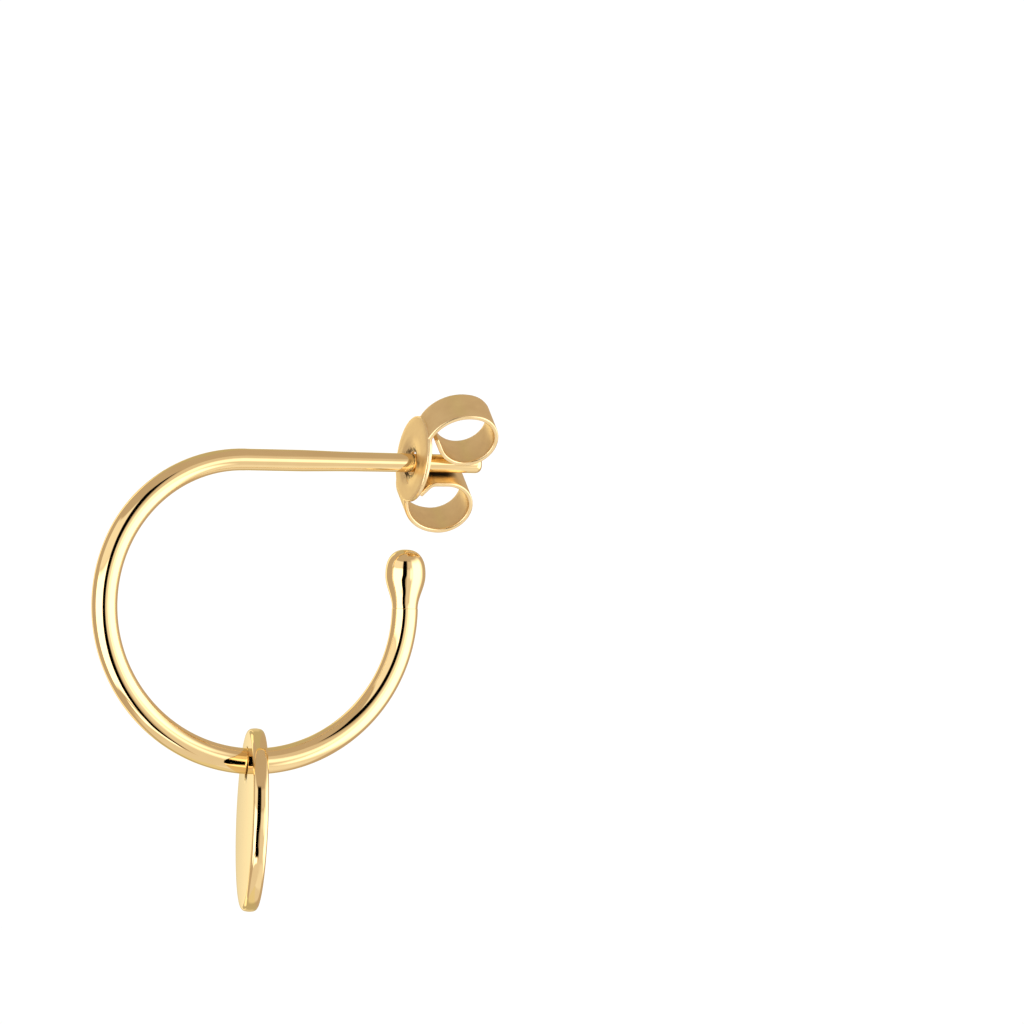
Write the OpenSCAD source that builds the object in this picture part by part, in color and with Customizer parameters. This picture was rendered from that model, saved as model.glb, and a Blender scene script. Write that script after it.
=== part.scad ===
// Hoop charm earring: an open round wire hoop with a straight ear post, a teardrop ball on its
// other end, a drilled disc charm hanging at its bottom, and a butterfly clutch on the post.
// Millimetres. The origin is on the post's axis where the ear lobe sits, +X runs along the post
// towards its tip, +Z is up, and the hoop lies in the XZ plane.

/* [Hoop] */
// Radius of the hoop, measured to the middle of the wire
hoop_r = 6.71; // [6.3:0.01:7.5]
// Tighter radius of the wire where it rises into the post
shoulder_r = 6.05; // [5.6:0.01:6.2]
// Angle round the hoop at which the tighter bend begins
shoulder_start = 155.8; // [145:0.1:165]
// Diameter of the hoop's wire
wire_d = 1.13; // [0.9:0.01:1.2]

/* [Ear post] */
// Diameter of the post where it leaves the hoop
post_root_d = 0.95; // [0.9:0.01:1.1]
// Diameter of the post at the clutch
post_d = 0.84; // [0.7:0.01:0.86]
// Diameter of the post at its tip
post_tip_d = 0.78; // [0.6:0.01:0.84]
// Length of the straight post
post_l = 10.6; // [9.5:0.1:12]
// Distance from the post's root to where it starts to taper
post_taper_from = 2.6; // [1:0.1:3.5]
// Length of the rounded-off tip
tip_l = 0.25; // [0.1:0.01:0.4]
// Diameter of the flat at the very tip
tip_flat_d = 0.43; // [0.3:0.01:0.5]
// Distance from the post's root to the middle of the ear lobe
lobe_from_root = 4.66; // [4:0.01:5]

/* [Ball] */
// Diameter of the ball at its widest
ball_d = 1.74; // [1.4:0.01:2.2]
// Height of the ball's widest place above its seam with the wire
ball_rise = 1.47; // [1.3:0.01:1.8]
// Height of the rounded cap above the widest place
ball_cap = 1.1; // [0.8:0.01:1.2]

/* [Disc charm] */
// Diameter of the disc
disc_d = 7.94; // [6:0.01:9]
// Thickness of the disc
disc_t = 0.7; // [0.5:0.01:0.8]
// Radius of the disc's rounded edges
disc_edge_r = 0.2; // [0.05:0.01:0.24]
// Radius of the gentle crown across the disc's rim
rim_crown_r = 0.9; // [0.7:0.1:2.5]
// Diameter of the hole that the hoop passes through
hole_d = 1.45; // [1.4:0.01:1.7]
// Distance from the disc's middle to the middle of its hole
hole_offset = 2.44; // [1.8:0.01:2.6]
// Gap between the wire and the top of the hole
hang_gap = 0.06; // [0.03:0.01:0.1]
// Place of the charm on the hoop, as an angle from the hoop's lowest point
hang_angle = 1.1; // [-6:0.1:6]
// Turn of the charm about its own upright axis
charm_turn = -9.2; // [-10:0.1:10]
// Lean of the charm in the plane of the hoop
charm_lean = 1.1; // [-3:0.1:3]

/* [Butterfly clutch] */
// Thickness of the clutch's metal
strip_t = 0.2; // [0.15:0.01:0.25]
// Width of the rolled strips
strip_w = 1.66; // [1.2:0.01:1.8]
// Diameter of the round plate
plate_d = 3.72; // [3.4:0.01:4]
// Diameter of the hole for the post
clutch_hole_d = 0.98; // [0.94:0.01:1.1]
// Outer radius of each scroll
scroll_r = 1.33; // [1.25:0.01:1.34]
// Distance of each scroll's middle from the clutch's axis
scroll_offset = 1.8; // [1.79:0.01:1.9]
// Distance of the scrolls' middles behind the plate's front face
scroll_depth = 1.85; // [1.75:0.01:1.86]
// Straight run across the top of each scroll
scroll_run = 0.08; // [0.08:0.01:0.3]
// Outer radius of the bend from the plate into each scroll
arm_r = 1.8; // [1.79:0.01:1.9]
// Place of the plate's front face along the post, from the middle of the ear lobe
clutch_x = 2.76; // [2:0.01:4]
// Turn of the clutch about the post, from upright
clutch_turn = 36; // [0:1:90]
// Slew of the clutch on the post, seen from above
clutch_slew = 6.5; // [0:0.1:7]
// Droop of the clutch on the post
clutch_droop = 5.8; // [0:0.1:6]

/* [Hidden] */
// Segments round a full turn of a small round, and of a large one
round_fn = 64;
large_fn = 180;
// Sides of the swept bend, and degrees in each step of a rolled strip
sweep_sides = 24;
arc_step = 8;
// Degrees from the end of the rim's crown to its next point
crown_step = 3;
// Depth to which soldered pieces run into each other
overlap = 0.3;
gold = [0.90, 0.73, 0.44];
satin_gold = [0.78, 0.63, 0.42];

// The middle of the tighter bend is on the line from the hoop's middle to where that bend begins
shoulder_x = (hoop_r - shoulder_r) * cos(shoulder_start);
shoulder_z = (hoop_r - shoulder_r) * sin(shoulder_start);
post_z = shoulder_z + shoulder_r;
hoop_x = -lobe_from_root - shoulder_x;
hoop_z = -post_z;
// The bend starts a few degrees inside the round wire's end, a little thinner than it there, and
// the post starts inside the bend's end in the same way
sweep_overlap = 3;
sweep_inset = 0.995;
post_inset = 0.985;

// Middle of the wire where the charm hangs
hang_x = hoop_x + hoop_r * sin(hang_angle);
hang_z = hoop_z - hoop_r * cos(hang_angle);
// The disc's middle hangs this far below the wire's middle
hole_drop = (hole_d - wire_d) / 2 - hang_gap;

function smooth(t) = (1 - cos(180 * t)) / 2;
function arc(c, r, a, b) = let (n = ceil(abs(b - a) / arc_step))
    [for (i = [0:n]) let (t = a + (b - a) * i / n) c + r * [cos(t), sin(t)]];

// Outline of the ball's right half: a blunt cap over a long smooth neck, which starts a little
// inside the wire's surface
cap_power = 2.4;
neck_inset = 0.02;
function cap_point(a) = [
    ball_d / 2 * pow(cos(a), 2 / cap_power),
    ball_rise + ball_cap * pow(sin(a), 2 / cap_power)];
neck_r = wire_d / 2 - neck_inset;
neck_points = 12;
cap_points = 12;
function neck_point(t) = [neck_r + (ball_d / 2 - neck_r) * smooth(t), ball_rise * t];
function ball_outline() = concat(
    [[0, -overlap], [neck_r, -overlap]],
    [for (i = [0:neck_points - 1]) neck_point(i / neck_points)],
    [for (i = [0:cap_points - 1]) cap_point(90 * i / cap_points)],
    [[0, ball_rise + ball_cap]]);

// A ring of the tapering bend: its angle round the bend, and its radius
function bend_ring(a, r) = [for (i = [0:sweep_sides - 1]) let (t = 360 * i / sweep_sides)
    [(shoulder_r + r * cos(t)) * cos(a), r * sin(t), (shoulder_r + r * cos(t)) * sin(a)]];
bend_rings = 18;
bend_even_rings = 2;
bend_from = shoulder_start + sweep_overlap;
bend_to = 90;
function bend_angle(i) = bend_from + (bend_to - bend_from) * i / bend_rings;
function bend_r(i) = (wire_d * sweep_inset + (post_root_d - wire_d * sweep_inset)
    * smooth(max(0, i - bend_even_rings) / (bend_rings - bend_even_rings))) / 2;

// Joins equal rings of points into one closed skin
module skin(rings) {
    n = len(rings[0]);
    m = len(rings);
    sides = [for (j = [0:m - 2]) for (i = [0:n - 1])
        [j * n + i, j * n + (i + 1) % n, (j + 1) * n + (i + 1) % n, (j + 1) * n + i]];
    first = [for (i = [n - 1:-1:0]) i];
    last = [for (i = [0:n - 1]) (m - 1) * n + i];
    polyhedron([for (r = rings) for (p = r) p], concat([first, last], sides), convexity = 4);
}

module wire_arc(from, to, r, d) {
    rotate([90, 0, 0]) rotate([0, 0, from])
        rotate_extrude(angle = to - from, $fn = large_fn) translate([r, 0]) circle(d = d, $fn = round_fn);
}

module tapered_bend() {
    skin([for (i = [0:bend_rings]) bend_ring(bend_angle(i), bend_r(i))]);
}

// The post tapers from its root to the lobe, then slightly to its rounded tip
module ear_post() {
    root_d = post_root_d * post_inset;
    tip_from = post_l - tip_l;
    rotate([0, 90, 0]) {
        translate([0, 0, -overlap])
            cylinder(h = post_taper_from + overlap, d = root_d, $fn = round_fn);
        translate([0, 0, post_taper_from])
            cylinder(h = lobe_from_root - post_taper_from, d1 = root_d, d2 = post_d, $fn = round_fn);
        translate([0, 0, lobe_from_root])
            cylinder(h = tip_from - lobe_from_root, d1 = post_d, d2 = post_tip_d, $fn = round_fn);
        translate([0, 0, tip_from])
            cylinder(h = tip_l, d1 = post_tip_d, d2 = tip_flat_d, $fn = round_fn);
    }
}

module ball() {
    rotate_extrude($fn = round_fn) polygon(ball_outline());
}

module hoop() {
    color(gold) {
        translate([hoop_x, 0, hoop_z]) {
            wire_arc(shoulder_start - 360, 0, hoop_r, wire_d);
            translate([shoulder_x, 0, shoulder_z]) tapered_bend();
            translate([hoop_r, 0, 0]) ball();
        }
        translate([-lobe_from_root, 0, 0]) ear_post();
    }
}

// The disc's edge profile, closed to the axis, as radius and height: the rim's crown runs smoothly
// into a rounded edge on either side
crown_x = disc_d / 2 - rim_crown_r;
edge_z = disc_t / 2 - disc_edge_r;
crown_half = asin(edge_z / (rim_crown_r - disc_edge_r));
edge_x = crown_x + (rim_crown_r - disc_edge_r) * cos(crown_half);
function disc_outline() = concat(
    [[0, -disc_t / 2]],
    arc([edge_x, -edge_z], disc_edge_r, -90, -crown_half),
    arc([crown_x, 0], rim_crown_r, -crown_half + crown_step, crown_half - crown_step),
    arc([edge_x, edge_z], disc_edge_r, crown_half, 90),
    [[0, disc_t / 2]]);

module disc_charm() {
    color(gold)
    translate([hang_x, 0, hang_z])
        rotate([0, charm_lean, charm_turn])
            translate([0, 0, -hole_drop]) rotate([0, 90, 0]) difference() {
                translate([hole_offset, 0, 0]) rotate_extrude($fn = large_fn) polygon(disc_outline());
                cylinder(h = 3 * disc_t, d = hole_d, center = true, $fn = round_fn);
            }
}

// Middle line of one rolled strip, as depth behind the plate's front face and distance from the
// clutch's axis: up the plate, round the arm's bend, round the scroll, and back towards the plate
strip_mid_r = scroll_r - strip_t / 2;
arm_mid_r = arm_r - strip_t / 2;
arm_centre = [scroll_depth - scroll_run, scroll_offset + scroll_r - arm_r];
arm_start = 180 - acos((arm_centre[0] - strip_t / 2) / arm_mid_r);
// The strip is rooted this far inside the plate's edge
root_inset = 0.9;
strip_root = plate_d / 2 - root_inset;
function scroll_line(last_angle, end) = concat(
    [[strip_t / 2, strip_root]],
    arc(arm_centre, arm_mid_r, arm_start, 90),
    arc([scroll_depth, scroll_offset], strip_mid_r, 90 - arc_step, last_angle),
    end);
// Each strip leaves its scroll's round at an angle, and its end turns away from the post again
upper_last = -106;
lower_last = -98;
upper_end = [[1.20, 0.82], [0.84, 1.32], [0.42, 1.80]];
lower_end = [[1.12, 0.70], [0.93, 0.80], [0.82, 1.02], [0.62, 1.44]];

// Left-hand normal of a line of points at point i
function line_normal(p, i) = let (
    a = p[max(i - 1, 0)],
    b = p[min(i + 1, len(p) - 1)],
    d = (b - a) / norm(b - a)) [-d[1], d[0]];
function side_of(p, off) = [for (i = [0:len(p) - 1]) p[i] + off * line_normal(p, i)];
function reversed(p) = [for (i = [len(p) - 1:-1:0]) p[i]];

module strip(line) {
    rotate([90, 0, 0]) linear_extrude(height = strip_w, center = true)
        polygon(concat(side_of(line, strip_t / 2), reversed(side_of(line, -strip_t / 2))));
}

// The post passes midway between the scrolls, so the slewed plate's hole is off its middle
clutch_tilt = [0, clutch_droop, clutch_slew];
plate_cut = 2;

module butterfly_clutch() {
    color(satin_gold)
    translate([clutch_x + scroll_depth, 0, 0]) difference() {
        rotate(clutch_tilt) rotate([clutch_turn, 0, 0]) translate([-scroll_depth, 0, 0]) {
            rotate([0, 90, 0]) cylinder(h = strip_t, d = plate_d, $fn = round_fn);
            strip(scroll_line(upper_last, upper_end));
            mirror([0, 0, 1]) strip(scroll_line(lower_last, lower_end));
        }
        translate([-scroll_depth, 0, 0]) rotate([0, 90, 0])
            cylinder(h = plate_cut, d = clutch_hole_d, center = true, $fn = round_fn);
    }
}

hoop();
butterfly_clutch();
disc_charm();
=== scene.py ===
import math
from math import asin, cos, pi, radians, sin

import bpy
from mathutils import Euler, Matrix, Quaternion, Vector


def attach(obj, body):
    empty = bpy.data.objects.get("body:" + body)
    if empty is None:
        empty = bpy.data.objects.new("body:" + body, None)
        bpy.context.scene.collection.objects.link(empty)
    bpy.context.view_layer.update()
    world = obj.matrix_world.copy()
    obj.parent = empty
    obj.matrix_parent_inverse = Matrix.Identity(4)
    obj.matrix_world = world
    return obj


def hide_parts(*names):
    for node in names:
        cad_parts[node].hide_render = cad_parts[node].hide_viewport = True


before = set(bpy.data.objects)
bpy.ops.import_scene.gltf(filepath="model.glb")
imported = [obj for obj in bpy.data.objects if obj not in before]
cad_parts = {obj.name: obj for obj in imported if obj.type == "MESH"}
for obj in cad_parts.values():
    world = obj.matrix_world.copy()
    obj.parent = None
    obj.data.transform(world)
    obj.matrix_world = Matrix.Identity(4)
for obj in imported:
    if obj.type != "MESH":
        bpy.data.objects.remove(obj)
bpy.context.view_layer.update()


# Hoop: one length of round gold wire, drawn, bent to an open ring and tapered into its straight
# ear post. A small teardrop ball is cast apart, soldered on its other end and polished over.
mm = 0.001
ring_r = 6.71 * mm
wire_r = 0.565 * mm
bend_r = 6.05 * mm
bend_start = radians(155.8)
lobe_from_root = 4.66 * mm
post_root_r = 0.475 * mm
bend_centre_from_ring = Vector((cos(bend_start), 0, sin(bend_start))) * (ring_r - bend_r)
post_height = bend_centre_from_ring.z + bend_r
ring_centre = Vector((-lobe_from_root - bend_centre_from_ring.x, 0, -post_height))
bend_centre = ring_centre + bend_centre_from_ring
wire_sides = 64
ring_steps = 150
bend_steps = 26
spin_axis = (0, -1, 0)
merge_within = 0.0005 * mm
gold, gold_cloud = (0.95, 0.75, 0.425), (0.93, 0.723, 0.4)
gold_edge = (1.0, 0.93, 0.8)
cloud_low, cloud_high = 0.3, 0.72


def take(piece):
    """Makes one piece the only one selected, and the active one."""
    bpy.ops.object.select_all(action="DESELECT")
    piece.select_set(True)
    bpy.context.view_layer.objects.active = piece


def start_edit(piece):
    """Opens one piece for shaping, with nothing selected in it."""
    take(piece)
    bpy.ops.object.mode_set(mode="EDIT")
    bpy.ops.mesh.select_all(action="DESELECT")


def end_edit():
    """Closes the piece that is open for shaping."""
    bpy.ops.object.mode_set(mode="OBJECT")


def select_points(piece, wanted):
    """Selects the points whose place answers wanted, while the piece is open for shaping."""
    bpy.ops.object.mode_set(mode="OBJECT")
    for part in (piece.data.vertices, piece.data.edges, piece.data.polygons):
        part.foreach_set("select", [False] * len(part))
    for point in piece.data.vertices:
        point.select = wanted(point.co)
    bpy.ops.object.mode_set(mode="EDIT")
    bpy.ops.mesh.select_mode(type="VERT")
    bpy.ops.mesh.select_mode(type="EDGE")


def add_circle(name, radius, centre, sides, turn=(0, 0, 0)):
    """A bare circle of edges, ready to be drawn out into a tube or a lathed form."""
    bpy.ops.object.select_all(action="DESELECT")
    bpy.ops.mesh.primitive_circle_add(vertices=sides, radius=radius, location=centre, rotation=turn)
    piece = bpy.context.object
    piece.name = name
    piece.data.name = name
    bpy.ops.object.transform_apply(location=True, rotation=True, scale=True)
    return piece


def draw_out(step, centre, size):
    """Extrudes the selected ring by a step, and then sizes it about its new centre."""
    bpy.ops.mesh.extrude_region_move(TRANSFORM_OT_translate={"value": step})
    bpy.ops.transform.resize(value=(size, size, size), center_override=centre)


def ease(share):
    """Goes from 0 to 1 as the share does, slowly at both ends."""
    return (1 - cos(pi * share)) / 2


def close_and_smooth(piece, sharp):
    """Merges doubled points, turns every face outwards and shades up to the sharp angle smooth."""
    start_edit(piece)
    bpy.ops.mesh.select_all(action="SELECT")
    bpy.ops.mesh.remove_doubles(threshold=merge_within)
    bpy.ops.mesh.normals_make_consistent(inside=False)
    end_edit()
    bpy.ops.object.shade_smooth_by_angle(angle=sharp)


ball_seam = ring_centre + Vector((ring_r, 0, 0))
hoop = add_circle("hoop_polished", wire_r, ball_seam, wire_sides)
start_edit(hoop)
bpy.ops.mesh.select_all(action="SELECT")
bpy.ops.mesh.spin(steps=ring_steps, angle=2 * pi - bend_start, center=ring_centre, axis=spin_axis)

# The wire is drawn down from its full thickness to the post's through the tight upper bend.
turned = bend_start
ring_size = wire_r
bend_turn = (bend_start - pi / 2) / bend_steps
for step in range(1, bend_steps + 1):
    new_size = wire_r + (post_root_r - wire_r) * ease(step / bend_steps)
    bpy.ops.mesh.spin(steps=1, angle=bend_turn, center=bend_centre, axis=spin_axis)
    turned -= bend_turn
    middle = bend_centre + Vector((cos(turned), 0, sin(turned))) * bend_r
    grown = new_size / ring_size
    bpy.ops.transform.resize(value=(grown, grown, grown), center_override=middle)
    ring_size = new_size

# Along the post: a straight stretch, the taper to the lobe, the post proper and its rounded tip.
# Each station has its distance from the bend and the post's thickness there, in millimetres.
post_stations = [(0.2, 0.936), (1.4, 0.936), (2.6, 0.93), (3.3, 0.9), (4.0, 0.865), (4.66, 0.84),
                 (7.5, 0.81), (10.33, 0.78)]
tip_length, tip_flat, tip_rings, tip_turn = 0.26, 0.42, 7, pi / 2 * 0.93
tip_from, tip_thick = post_stations[-1]
for ring in range(1, tip_rings + 1):
    lean = tip_turn * ring / tip_rings
    narrowed = tip_flat + (1 - tip_flat) * cos(lean)
    post_stations.append((tip_from + tip_length * sin(lean), tip_thick * narrowed))
post_at = 0.0
for along, thick in post_stations:
    middle = Vector((along * mm - lobe_from_root, 0, 0))
    draw_out(((along - post_at) * mm, 0, 0), middle, thick * mm / 2 / ring_size)
    post_at = along
    ring_size = thick * mm / 2
bpy.ops.mesh.edge_face_add()

# The teardrop: the solder seam's fine groove, a long hollow neck and a blunt cap, whose outline
# is a power curve. Each ring has its height above the seam and its radius.
ball_r, neck_length, cap_length = 0.87 * mm, 1.47 * mm, 1.1 * mm
groove_height, groove_depth, groove_end = 0.012 * mm, 0.014 * mm, 0.03 * mm
neck_inset = 0.012 * mm
neck_r = wire_r - neck_inset
neck_rings = cap_rings = 24
cap_turn, cap_power = pi / 2 * 0.985, 2 / 2.4
ball_rings = [(groove_height, wire_r - groove_depth), (groove_end, neck_r)]
for ring in range(1, neck_rings + 1):
    share = ring / neck_rings
    ball_rings.append((neck_length * share, neck_r + (ball_r - neck_r) * ease(share)))
for ring in range(1, cap_rings + 1):
    lean = cap_turn * ring / cap_rings
    ball_rings.append((neck_length + cap_length * sin(lean) ** cap_power, ball_r * cos(lean) ** cap_power))
same_height, seam_reach = 0.0001 * mm, 1.01 * wire_r
select_points(hoop, lambda p: abs(p.z - ball_seam.z) < same_height and (p - ball_seam).length < seam_reach)
ball_at, ring_size = 0.0, wire_r
for height, size in ball_rings:
    draw_out((0, 0, height - ball_at), ball_seam + Vector((0, 0, height)), size / ring_size)
    ball_at, ring_size = height, size
bpy.ops.mesh.edge_face_add()
end_edit()
close_and_smooth(hoop, sharp=radians(40))


class Field:
    """One socket of a material or world, so that its maths reads as ordinary sums."""

    def __init__(self, tree, socket=None):
        self.tree, self.socket = tree, socket

    def add(self, kind, inputs=(), output=0, **settings):
        """A node of that kind: its settings first, then its sockets' values or links."""
        node = self.tree.nodes.new(kind)
        for name, value in settings.items():
            setattr(node, name, value)
        for name, value in dict(inputs).items():
            if isinstance(value, Field):
                self.tree.links.new(value.socket, node.inputs[name])
            else:
                node.inputs[name].default_value = value
        return Field(self.tree, node.outputs[output] if node.outputs else None)

    def sum(self, operation, *values):
        """A Math node on fields and plain numbers."""
        return self.add("ShaderNodeMath", enumerate(values), operation=operation)

    def __add__(self, other):
        return self.sum("ADD", self, other)

    def __sub__(self, other):
        return self.sum("SUBTRACT", self, other)

    def __rsub__(self, other):
        return self.sum("SUBTRACT", other, self)

    def __mul__(self, other):
        return self.sum("MULTIPLY", self, other)

    __radd__, __rmul__ = __add__, __mul__

    def between(self, low, high):
        """0 below low and 1 above high, rising smoothly; the other way round if high is less."""
        if low > high:
            return 1 - self.between(high, low)
        return self.add("ShaderNodeMapRange", {"Value": self, "From Min": low, "From Max": high},
                        interpolation_type="SMOOTHSTEP")

    def mix(self, first, second):
        """first where this is 0 and second where it is 1, as colours."""
        return self.add("ShaderNodeMix", {0: self, 6: first, 7: second}, output=2, data_type="RGBA")


def gold_finish(name, colour, cloud_colour, cloud_scale, roughness, rough_by, bump_depth, bump_scale,
                stain_and_shade=None):
    """Gold with a clouded colour, uneven gloss and a shallow bump, all at real size. The optional mark
    is a function that takes the tone, the place and the two noises, and gives the tone stained and
    darkened with painted shade."""
    made = bpy.data.materials.new(name)
    made.use_nodes = True
    shader = made.node_tree.nodes["Principled BSDF"]
    shader.inputs["Metallic"].default_value = 1.0
    shader.inputs["Specular Tint"].default_value = (*gold_edge, 1)
    field = Field(made.node_tree)
    place = field.add("ShaderNodeTexCoord", output="Object")
    cloud = field.add("ShaderNodeTexNoise", {"Vector": place, "Scale": cloud_scale, "Detail": 4.0})
    grain = field.add("ShaderNodeTexNoise", {"Vector": place, "Scale": bump_scale, "Detail": 3.0})
    tone = cloud.between(cloud_low, cloud_high).mix((*cloud_colour, 1), (*colour, 1))
    if stain_and_shade:
        tone = stain_and_shade(tone, place, cloud, grain)
    gloss = cloud * rough_by + (roughness - rough_by / 2)
    bump = field.add("ShaderNodeBump", {"Height": grain, "Distance": bump_depth, "Strength": 1.0})
    for socket, value in (("Base Color", tone), ("Roughness", gloss), ("Normal", bump)):
        field.tree.links.new(value.socket, shader.inputs[socket])
    return made


polish = gold_finish("polished_gold", gold, gold_cloud, cloud_scale=900, roughness=0.035, rough_by=0.03,
                     bump_depth=0.0002 * mm, bump_scale=1600)
hoop.data.materials.clear()
hoop.data.materials.append(polish)
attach(hoop, "hoop")
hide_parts("hoop")


# Butterfly clutch: one stamping of thin gold sheet. Its round plate is punched for the post and
# its two tabs are rolled back into scrolls that spring against the post. The sheet keeps its
# satin from the rolling mill. Its shear-cut edges are glossier, and painted paler as a painted highlight.
sheet_t = 0.2 * mm
strip_w, strip_cuts = 1.66 * mm, 7
plate_r, plate_sides = 1.86 * mm, 96
tab_root, tab_run = 0.96 * mm, 0.6 * mm
knee_r, knee_turn = 0.5 * mm, radians(10.8)
arm_r, arm_turn, arm_run = 1.7 * mm, radians(79.2), 0.08 * mm
scroll_r, scroll_depth = 1.23 * mm, 1.85 * mm
rolled_t = 0.95 * sheet_t
roll_step = radians(4)
edge_break = 0.05 * mm
satin_colour, satin_cloud = (0.94, 0.735, 0.41), (0.88, 0.67, 0.365)
# The edges' colour is paler than the satin's: a painted highlight on the rounded edges.
sheared_highlight_colour, sheared_highlight_cloud = (0.97, 0.78, 0.485), (0.93, 0.715, 0.405)
# Polish residue and painted shade on the clutch round the post: their dark colour and where they fade.
residue_and_shade_colour = (0.06, 0.035, 0.015, 1)
residue_and_shade_full, residue_and_shade_end, residue_and_shade_along = 0.5 * mm, 0.82 * mm, 0.45
post_pull, post_gap = 1.9, 0.4 * mm

# It droops and slews about the middle of its scrolls, where it grips the post, and is turned on it.
clutch_x = 2.76 * mm
droop, slew, turned_on_post = radians(5.8), radians(6.5), radians(36)
clutch_place = (Matrix.Translation((clutch_x + scroll_depth, 0, 0))
                @ Euler((0, droop, slew)).to_matrix().to_4x4()
                @ Matrix.Rotation(turned_on_post, 4, "X") @ Matrix.Translation((-scroll_depth, 0, 0)))


def polish_residue_and_shade(tone, place, cloud, grain):
    """Dark round the post's hole, ragged and thinning outwards: partly polish residue, partly painted
    shade where the post goes through the plate. It reaches further along the post, and keeps to the post's
    sides all the way, as painted shade where the scrolls close on the post."""
    offset = place.add("ShaderNodeVectorMath", {0: place, 1: (clutch_x, 0, 0)}, operation="SUBTRACT")
    beside = place.add("ShaderNodeVectorMath", {0: offset, 1: (0, 1, 1)}, operation="MULTIPLY")
    drawn = place.add("ShaderNodeVectorMath", {0: offset, 1: (residue_and_shade_along, 1, 1)}, operation="MULTIPLY")
    from_post = place.add("ShaderNodeVectorMath", {0: beside}, output="Value", operation="LENGTH")
    from_hole = place.add("ShaderNodeVectorMath", {0: drawn}, output="Value", operation="LENGTH")
    ragged = from_hole + (grain + cloud - 1) * (residue_and_shade_end - residue_and_shade_full) * 2
    nearest = place.sum("MINIMUM", ragged, from_post * post_pull - post_gap)
    return nearest.between(residue_and_shade_end, residue_and_shade_full).mix(tone, residue_and_shade_colour)


# The satin carries the polish residue and the painted shade round the post.
satin = gold_finish("satin_gold", satin_colour, satin_cloud, cloud_scale=1500, roughness=0.36,
                    rough_by=0.12, bump_depth=0.0025 * mm, bump_scale=9000, stain_and_shade=polish_residue_and_shade)
sheared_and_highlight = gold_finish("sheared_edge_gold_painted_highlight", sheared_highlight_colour, sheared_highlight_cloud, cloud_scale=2500, roughness=0.2,
                      rough_by=0.1, bump_depth=0.001 * mm, bump_scale=6000)


class Roller:
    """Rolls a strip along its middle line: straight runs and bends, from a place and a heading
    in the plane of depth behind the plate (X) and distance from the post (Z)."""

    def __init__(self, place, heading):
        self.place, self.heading = Vector(place), heading

    def to_right(self):
        """The direction square to the heading, on its right."""
        return Vector((sin(self.heading), 0, -cos(self.heading)))

    def run(self, length):
        """Goes straight ahead."""
        step = Vector((cos(self.heading), 0, sin(self.heading))) * length
        bpy.ops.mesh.extrude_region_move(TRANSFORM_OT_translate={"value": step})
        self.place += step

    def roll(self, radius, angle):
        """Bends to the right."""
        centre = self.place + self.to_right() * radius
        steps = math.ceil(angle / roll_step)
        bpy.ops.mesh.spin(steps=steps, angle=angle, center=centre, axis=spin_axis)
        self.heading -= angle
        self.place = centre - self.to_right() * radius


def roll_strip(name, scroll_turn, free_end):
    """One tab: up the plate, round the knee and the arm, round the scroll and along its free end.
    There a radius of 0 is a straight run in millimetres, and any other a bend in degrees."""
    bpy.ops.object.select_all(action="DESELECT")
    bpy.ops.mesh.primitive_plane_add(size=strip_w, location=(0, 0, 0))
    strip = bpy.context.object
    strip.name = name
    start_edit(strip)
    select_points(strip, lambda p: p.x < 0)
    bpy.ops.mesh.delete(type="VERT")
    bpy.ops.mesh.select_all(action="SELECT")
    bpy.ops.mesh.subdivide(number_cuts=strip_cuts)
    root = Vector((sheet_t / 2, 0, tab_root))
    bpy.ops.transform.translate(value=root - Vector((strip_w / 2, 0, 0)))
    roller = Roller(root, pi / 2)
    roller.run(tab_run)
    roller.roll(knee_r, knee_turn)
    roller.roll(arm_r, arm_turn)
    roller.run(arm_run)
    roller.roll(scroll_r, scroll_turn)
    for radius, amount in free_end:
        if radius:
            roller.roll(radius * mm, radians(amount))
        else:
            roller.run(amount * mm)
    end_edit()
    return strip


def finish_sheet(piece, thickness, offset):
    """Gives a bare sheet its satin, its thickness, and broken edges where the shears cut it, glossier and
    painted paler as a painted highlight.
    """
    close_and_smooth(piece, sharp=radians(35))
    piece.data.materials.clear()
    piece.data.materials.append(satin)
    piece.data.materials.append(sheared_and_highlight)
    take(piece)
    wall = piece.modifiers.new("wall", "SOLIDIFY")
    wall.thickness, wall.offset, wall.use_even_offset = thickness, offset, True
    wall.material_offset_rim = 1
    edges = piece.modifiers.new("edges", "BEVEL")
    edges.width, edges.segments, edges.limit_method = edge_break, 3, "ANGLE"
    edges.angle_limit, edges.material = radians(50), 1
    for modifier in ("wall", "edges"):
        bpy.ops.object.modifier_apply(modifier=modifier)


def flatten_faces(piece, sharp):
    """Shades a piece smooth, while its large flat faces stay flat up to their rounded edges."""
    bpy.ops.object.shade_smooth_by_angle(angle=sharp)
    even = piece.modifiers.new("even", "WEIGHTED_NORMAL")
    even.keep_sharp, even.weight = True, 80
    bpy.ops.object.modifier_apply(modifier="even")


upper_strip = roll_strip("upper_strip", radians(196), [(1.35, 38), (0, 0.64)])
lower_strip = roll_strip("lower_strip", radians(188), [(0, 0.5), (0.42, 55), (0, 0.5)])
start_edit(lower_strip)
bpy.ops.mesh.select_all(action="SELECT")
bpy.ops.transform.resize(value=(1, 1, -1), center_override=(0, 0, 0))
end_edit()

# The post's hole is where the post's axis, seen from the tilted clutch, goes through the plate.
to_plate = clutch_place.inverted()
axis_start, axis_end = to_plate @ Vector((0, 0, 0)), to_plate @ Vector((10 * mm, 0, 0))
share = (sheet_t / 2 - axis_start.x) / (axis_end.x - axis_start.x)
hole_centre = axis_start.lerp(axis_end, share)
hole_centre.x = 0

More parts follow.
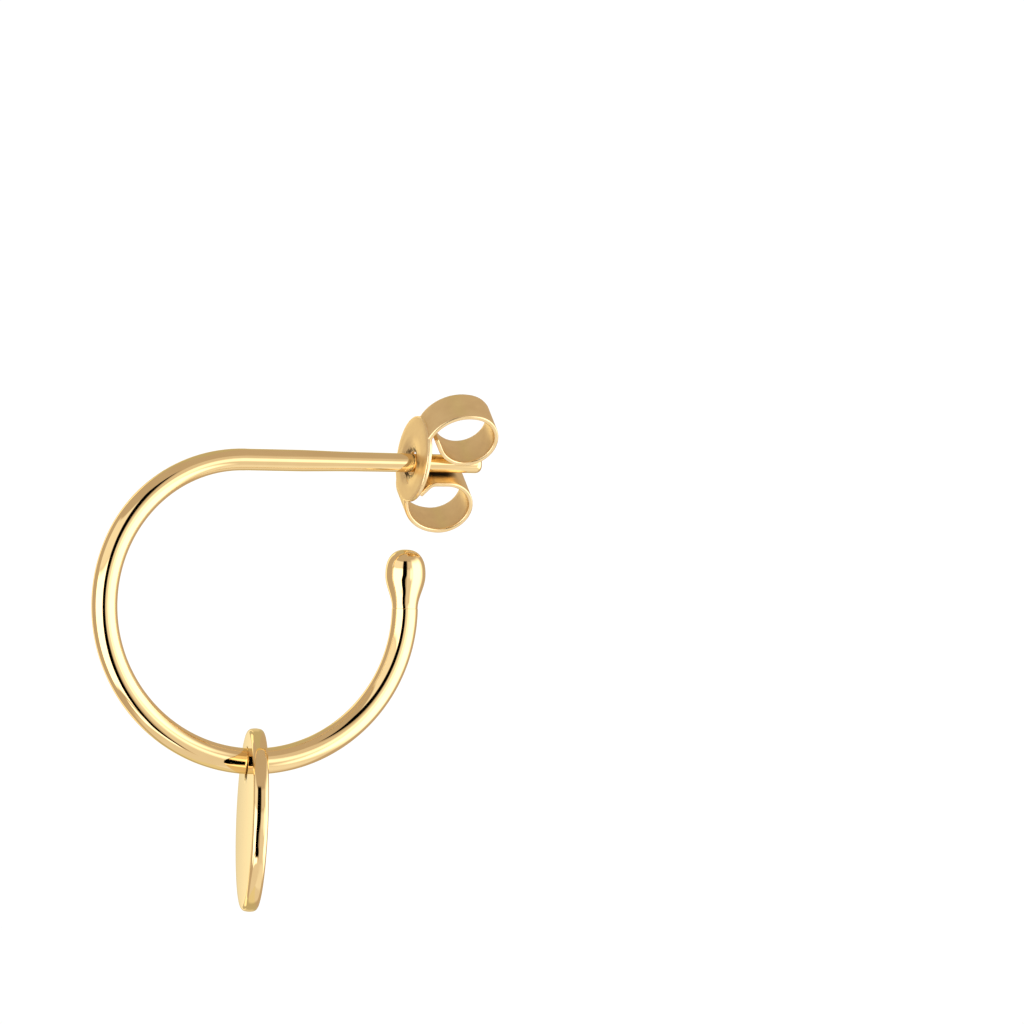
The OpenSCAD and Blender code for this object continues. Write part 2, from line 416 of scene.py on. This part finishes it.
# The plate: its outline, and the dimple that the punch left round the hole. Each ring has its share
# of the way to the hole's middle, and its radius and depth in millimetres.
plate_rings = [(0.5, 1.6, 0), (0.75, 1.25, 0), (1, 0.97, 0), (1, 0.93, 0.014), (1, 0.84, 0.03),
               (1, 0.74, 0.04), (1, 0.68, 0.06), (1, 0.63, 0.09), (1, 0.56, 0.105), (1, 0.49, 0.13)]
plate = add_circle("plate", plate_r, (0, 0, 0), plate_sides, turn=(0, pi / 2, 0))
start_edit(plate)
bpy.ops.mesh.select_all(action="SELECT")
ring_at, ring_size = Vector((0, 0, 0)), plate_r
for toward_hole, radius, depth in plate_rings:
    centre = hole_centre * toward_hole + Vector((depth * mm, 0, 0))
    draw_out(centre - ring_at, centre, radius * mm / ring_size)
    ring_at, ring_size = centre, radius * mm
end_edit()

finish_sheet(plate, sheet_t, offset=-1)
for strip in (upper_strip, lower_strip):
    finish_sheet(strip, rolled_t, offset=0)
for strip in (upper_strip, lower_strip):
    take(plate)
    weld = plate.modifiers.new("weld", "BOOLEAN")
    weld.operation, weld.solver, weld.object = "UNION", "EXACT", strip
    weld.material_mode = "TRANSFER"
    bpy.ops.object.modifier_apply(modifier="weld")
    bpy.data.objects.remove(strip)
clutch = plate
clutch.name = "butterfly_clutch_rolled"
clutch.matrix_world = clutch_place
bpy.ops.object.transform_apply(location=True, rotation=True, scale=True)
flatten_faces(clutch, sharp=radians(32))
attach(clutch, "clutch")
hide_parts("butterfly_clutch")


# Disc charm: a plain blank of thick gold sheet, turned to a crowned rim, drilled near its top,
# polished all over and hung on the hoop's wire by its hole. Polishing left both faces a few
# hundredths of a millimetre fuller at the middle than at the edge.
disc_r, disc_t, disc_sides = 3.97 * mm, 0.7 * mm, 192
edge_r, edge_steps = 0.2 * mm, 8
crown_r, crown_steps = 0.9 * mm, 8
crown_rise = 0.024 * mm
face_rings, first_ring = 12, 0.4
hole_r, hole_offset, hang_gap = 0.725 * mm, 2.44 * mm, 0.06 * mm
hole_edge_r, hole_edge_steps = 0.045 * mm, 3
# The hole's wall is painted dark brown: painted shade inside the hole.
drilled_shade_colour, drilled_shade_cloud = (0.5, 0.33, 0.13), (0.1, 0.06, 0.02)

# It hangs just past the hoop's lowest point, square to the wire there but for a small turn.
hang_angle, turned_on_wire = radians(1.1), radians(-9.2)
hang_point = ring_centre + Vector((sin(hang_angle), 0, -cos(hang_angle))) * ring_r
charm_place = (Matrix.Translation(hang_point)
               @ Euler((0, hang_angle, turned_on_wire)).to_matrix().to_4x4()
               @ Matrix.Translation((0, 0, -(hole_r - wire_r - hang_gap)))
               @ Matrix.Rotation(pi / 2, 4, "Y"))

# The rim's outline from one face to the other, as distance from the disc's middle and height: a
# rounded edge, the crown and the other rounded edge.
crown_half = asin((disc_t / 2 - edge_r) / (crown_r - edge_r))
edge_x = disc_r - crown_r + (crown_r - edge_r) * cos(crown_half)
rim = []
for step in range(edge_steps + 1):
    lean = pi / 2 - (pi / 2 - crown_half) * step / edge_steps
    rim.append((edge_x + edge_r * cos(lean), disc_t / 2 - edge_r + edge_r * sin(lean)))
for step in range(1, 2 * crown_steps + 1):
    lean = crown_half * (1 - step / crown_steps)
    rim.append((disc_r - crown_r + crown_r * cos(lean), crown_r * sin(lean)))
rim += [(x, -z) for x, z in reversed(rim[:edge_steps])]


def face_height(from_middle, radius):
    """How high a ring on the domed face lies, whose own middle is that far from the disc's."""
    return disc_t / 2 + crown_rise * (0.5 - (from_middle ** 2 + radius ** 2) / edge_x ** 2)


# The whole disc is one band of rings: up the drilled wall, over its broken edge, across the face,
# round the rim, back across the other face and up the wall again. Each ring has its middle's
# place, its radius and its height. On a face the middles go from the hole's to the disc's, and
# the rim is drawn in by half of the dome's rise, where it meets the faces.
hole_top = face_height(hole_offset, hole_r + hole_edge_r)
face = []
for step in range(hole_edge_steps + 1):
    lean = pi / 2 * step / hole_edge_steps
    face.append((0, hole_r + hole_edge_r * (1 - cos(lean)), hole_top - hole_edge_r * (1 - sin(lean))))
for step in range(face_rings):
    share = (step + first_ring) / face_rings
    radius = hole_r + hole_edge_r + (edge_x - hole_r - hole_edge_r) * share
    face.append((hole_offset * share, radius, face_height(hole_offset * (1 - share), radius)))
rings = face + [(hole_offset, x, z - math.copysign(crown_rise / 2, z)) for x, z in rim]
rings += [(place, radius, -z) for place, radius, z in reversed(face)]
rings.append((0, hole_r, 0))

# A ring whose middle is beside the disc's lies aslant on the dome, so it is tilted by that slope.
charm = add_circle("disc_charm_polished", hole_r, (0, 0, 0), disc_sides)
start_edit(charm)
bpy.ops.mesh.select_all(action="SELECT")
ring_at, ring_size, ring_tilt = Vector((0, 0, 0)), hole_r, 0
for place, radius, height in rings:
    centre = Vector((place, 0, height))
    draw_out(centre - ring_at, centre, radius / ring_size)
    slope = 2 * crown_rise * (hole_offset - place) / edge_x ** 2
    tilt = math.copysign(slope, height) if height else 0
    bpy.ops.transform.rotate(value=tilt - ring_tilt, orient_axis="Y", center_override=centre)
    ring_at, ring_size, ring_tilt = centre, radius, tilt
end_edit()
close_and_smooth(charm, sharp=radians(30))

# The drill leaves the hole's wall duller than the faces, up to its broken edge. The wall is also painted
# dark, as painted shade inside the hole.
drilled_wall_and_shade = gold_finish("drilled_gold_painted_shade", drilled_shade_colour, drilled_shade_cloud, cloud_scale=4000, roughness=0.4,
                           rough_by=0.1, bump_depth=0.002 * mm, bump_scale=9000)
charm.data.materials.clear()
charm.data.materials.append(polish)
charm.data.materials.append(drilled_wall_and_shade)
for side in charm.data.polygons:
    if side.center.xy.length < hole_r + hole_edge_r / 8:
        side.material_index = 1
charm.matrix_world = charm_place
bpy.ops.object.transform_apply(location=True, rotation=True, scale=True)
flatten_faces(charm, sharp=radians(25))
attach(charm, "charm")
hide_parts("disc_charm")


# Floor: a plain pale table top of painted board. It lies well below the earring, which hangs free
# above it, and is left out of the gold's reflections.
floor_height, floor_r, floor_sides = -26 * mm, 800 * mm, 96
floor_paint = (0.96, 0.96, 0.955, 1)
bpy.ops.object.select_all(action="DESELECT")
bpy.ops.mesh.primitive_circle_add(vertices=floor_sides, radius=floor_r, fill_type="NGON",
                                  location=(0, 0, floor_height))
floor = bpy.context.object
floor.name = "floor"
floor_look = bpy.data.materials.new("pale_floor")
floor_look.use_nodes = True
floor_shader = floor_look.node_tree.nodes["Principled BSDF"]
floor_shader.inputs["Base Color"].default_value = floor_paint
floor_shader.inputs["Roughness"].default_value = 0.9
floor_shader.inputs["Specular IOR Level"].default_value = 0.0
floor.data.materials.append(floor_look)
floor.visible_glossy = False


# Light: a white photographic tent, mirrored in the gold. Bright panels stand on its left and right
# and paler ones in front and behind, its wall is dim between them, and the camera looks in through
# a dark upright slot. Behind the earring is plain white paper. All its angles are in degrees.
wall_glow, low_glow, low_right_glow = 0.57, 0.28, 0.13
right_glow = 2.1
back_glow, back_middle_glow = 0.74, 0.42
front_glow, front_right_glow = 0.97, 0.65
paper_glow = 1.06
dim_tint, pale_tint = (1.0, 0.815, 0.64, 1), (0.99, 0.926, 0.815, 1)
bright_tint, back_tint = (0.97, 0.926, 0.89, 1), (1.0, 0.895, 0.6, 1)
slot_azimuth, slot_half_width, slot_soft = -18, 10, 4

world = bpy.data.worlds.new("light_tent")
bpy.context.scene.world = world
world.use_nodes = True
world.node_tree.nodes.clear()
tent = Field(world.node_tree)
toward = tent.add("ShaderNodeTexCoord", output="Generated")
split = tent.add("ShaderNodeSeparateXYZ", {"Vector": toward}).socket.node
east, north, height = (Field(tent.tree, split.outputs[axis]) for axis in "XYZ")
azimuth = tent.sum("ARCTAN2", east, north * -1) * (180 / pi)
rise = tent.sum("ARCSINE", height) * (180 / pi)


def patch(left, right, low, high):
    """1 on a patch of the tent and 0 off it. Each side is a pair: where it is gone and where whole."""
    return azimuth.between(*left) * azimuth.between(*right) * rise.between(*low) * rise.between(*high)


def panel(left, right, low, high, soft):
    """A patch with four equally soft sides."""
    half = soft / 2
    return patch((left - half, left + half), (right + half, right - half),
                 (low - half, low + half), (high + half, high - half))


low_right = azimuth.between(0, 40) * azimuth.between(125, 100)
level = wall_glow + rise.between(-46, -56) * (low_glow + low_right * low_right_glow)
right_wall = patch((16, 36), (112, 76), (-56, -32), (52, 22))
level = level + right_wall * (right_glow - level)

# Each panel has its left, right, lower and upper side, their softness, and its glow.
panels = [(-97, -30, -38, 14, 9, 2.2), (-104, -30, 12, 41, 9, 1.05), (-64, -15, -56, -41, 7, 2.0),
          (-8, 36, -62, 12, 8, 0.85), (-4, 36, 10, 42, 12, 0.8), (-172, -152, -34, 38, 6, 1.4)]
for left, right, low, high, soft, glow in panels:
    level = tent.sum("MAXIMUM", level, panel(left, right, low, high, soft) * glow)
back = azimuth.between(154, 164) * rise.between(-34, -24) * rise.between(38, 28)
level = tent.sum("MAXIMUM", level, back * (back_glow + azimuth.between(173, 179) * back_middle_glow))
front = patch((-8, 0), (45, 30), (-36, -6), (30, 4))
level = tent.sum("MAXIMUM", level, front * (front_glow + azimuth.between(10, 16) * front_right_glow))

# The slot is upright in its upper half, steps aside lower down and comes back at its foot.
slot_at = slot_azimuth - rise.between(4, -20) * 8 + rise.between(-30, -42) * 6
beside = tent.sum("ABSOLUTE", azimuth - slot_at)
slot = (beside.between(slot_half_width + slot_soft, slot_half_width)
        * rise.between(-49, -45) * rise.between(45, 41))
level = level * (1 - slot)
tint = level.between(0.6, 1.0).mix(dim_tint, pale_tint)
tint = level.between(1.2, 2.0).mix(tint, bright_tint)
tint = tent.sum("ABSOLUTE", azimuth).between(150, 160).mix(tint, back_tint)
mirrored = tent.add("ShaderNodeBackground", {"Color": tint, "Strength": level})
paper = tent.add("ShaderNodeBackground", {"Color": (1, 1, 1, 1), "Strength": paper_glow})
from_gold = tent.add("ShaderNodeLightPath", output="Is Glossy Ray")
shown = tent.add("ShaderNodeMixShader", {0: from_gold, 1: paper, 2: mirrored})
tent.add("ShaderNodeOutputWorld", {"Surface": shown})
bpy.context.scene.view_settings.view_transform = "Standard"


# Camera: a long lens level with the hoop, seeing it 14.7 degrees from face on, with the earring
# to the lower left of the frame and turned by a degree as it hung for the picture.
frame_pixels = 1024
pixel = 0.0432 * mm
hoop_in_picture = (254.2, 605.5)
seen_from = radians(-14.7)
hang_roll = radians(1.12)
distance = 2000 * mm
sensor = 36
half_frame = frame_pixels / 2
looking = Vector((-sin(seen_from), cos(seen_from), 0))
aside = (hoop_in_picture[0] + 0.5 - half_frame) * pixel
above = (half_frame - hoop_in_picture[1] - 0.5) * pixel
to_hoop = Vector((aside, above, -distance))
camera_data = bpy.data.cameras.new("camera")
camera = bpy.data.objects.new("camera", camera_data)
bpy.context.scene.collection.objects.link(camera)
bpy.context.scene.camera = camera
camera_data.sensor_width = sensor
camera_data.lens = sensor / 2 / (half_frame * pixel / distance)
camera_data.clip_start, camera_data.clip_end = 0.05, 5
camera.rotation_mode = "QUATERNION"
camera.rotation_quaternion = (looking.to_track_quat("-Z", "Y") @ Quaternion((0, 0, 1), hang_roll)
                              @ to_hoop.normalized().rotation_difference(Vector((0, 0, -1))))
camera.location = ring_centre - looking * to_hoop.length
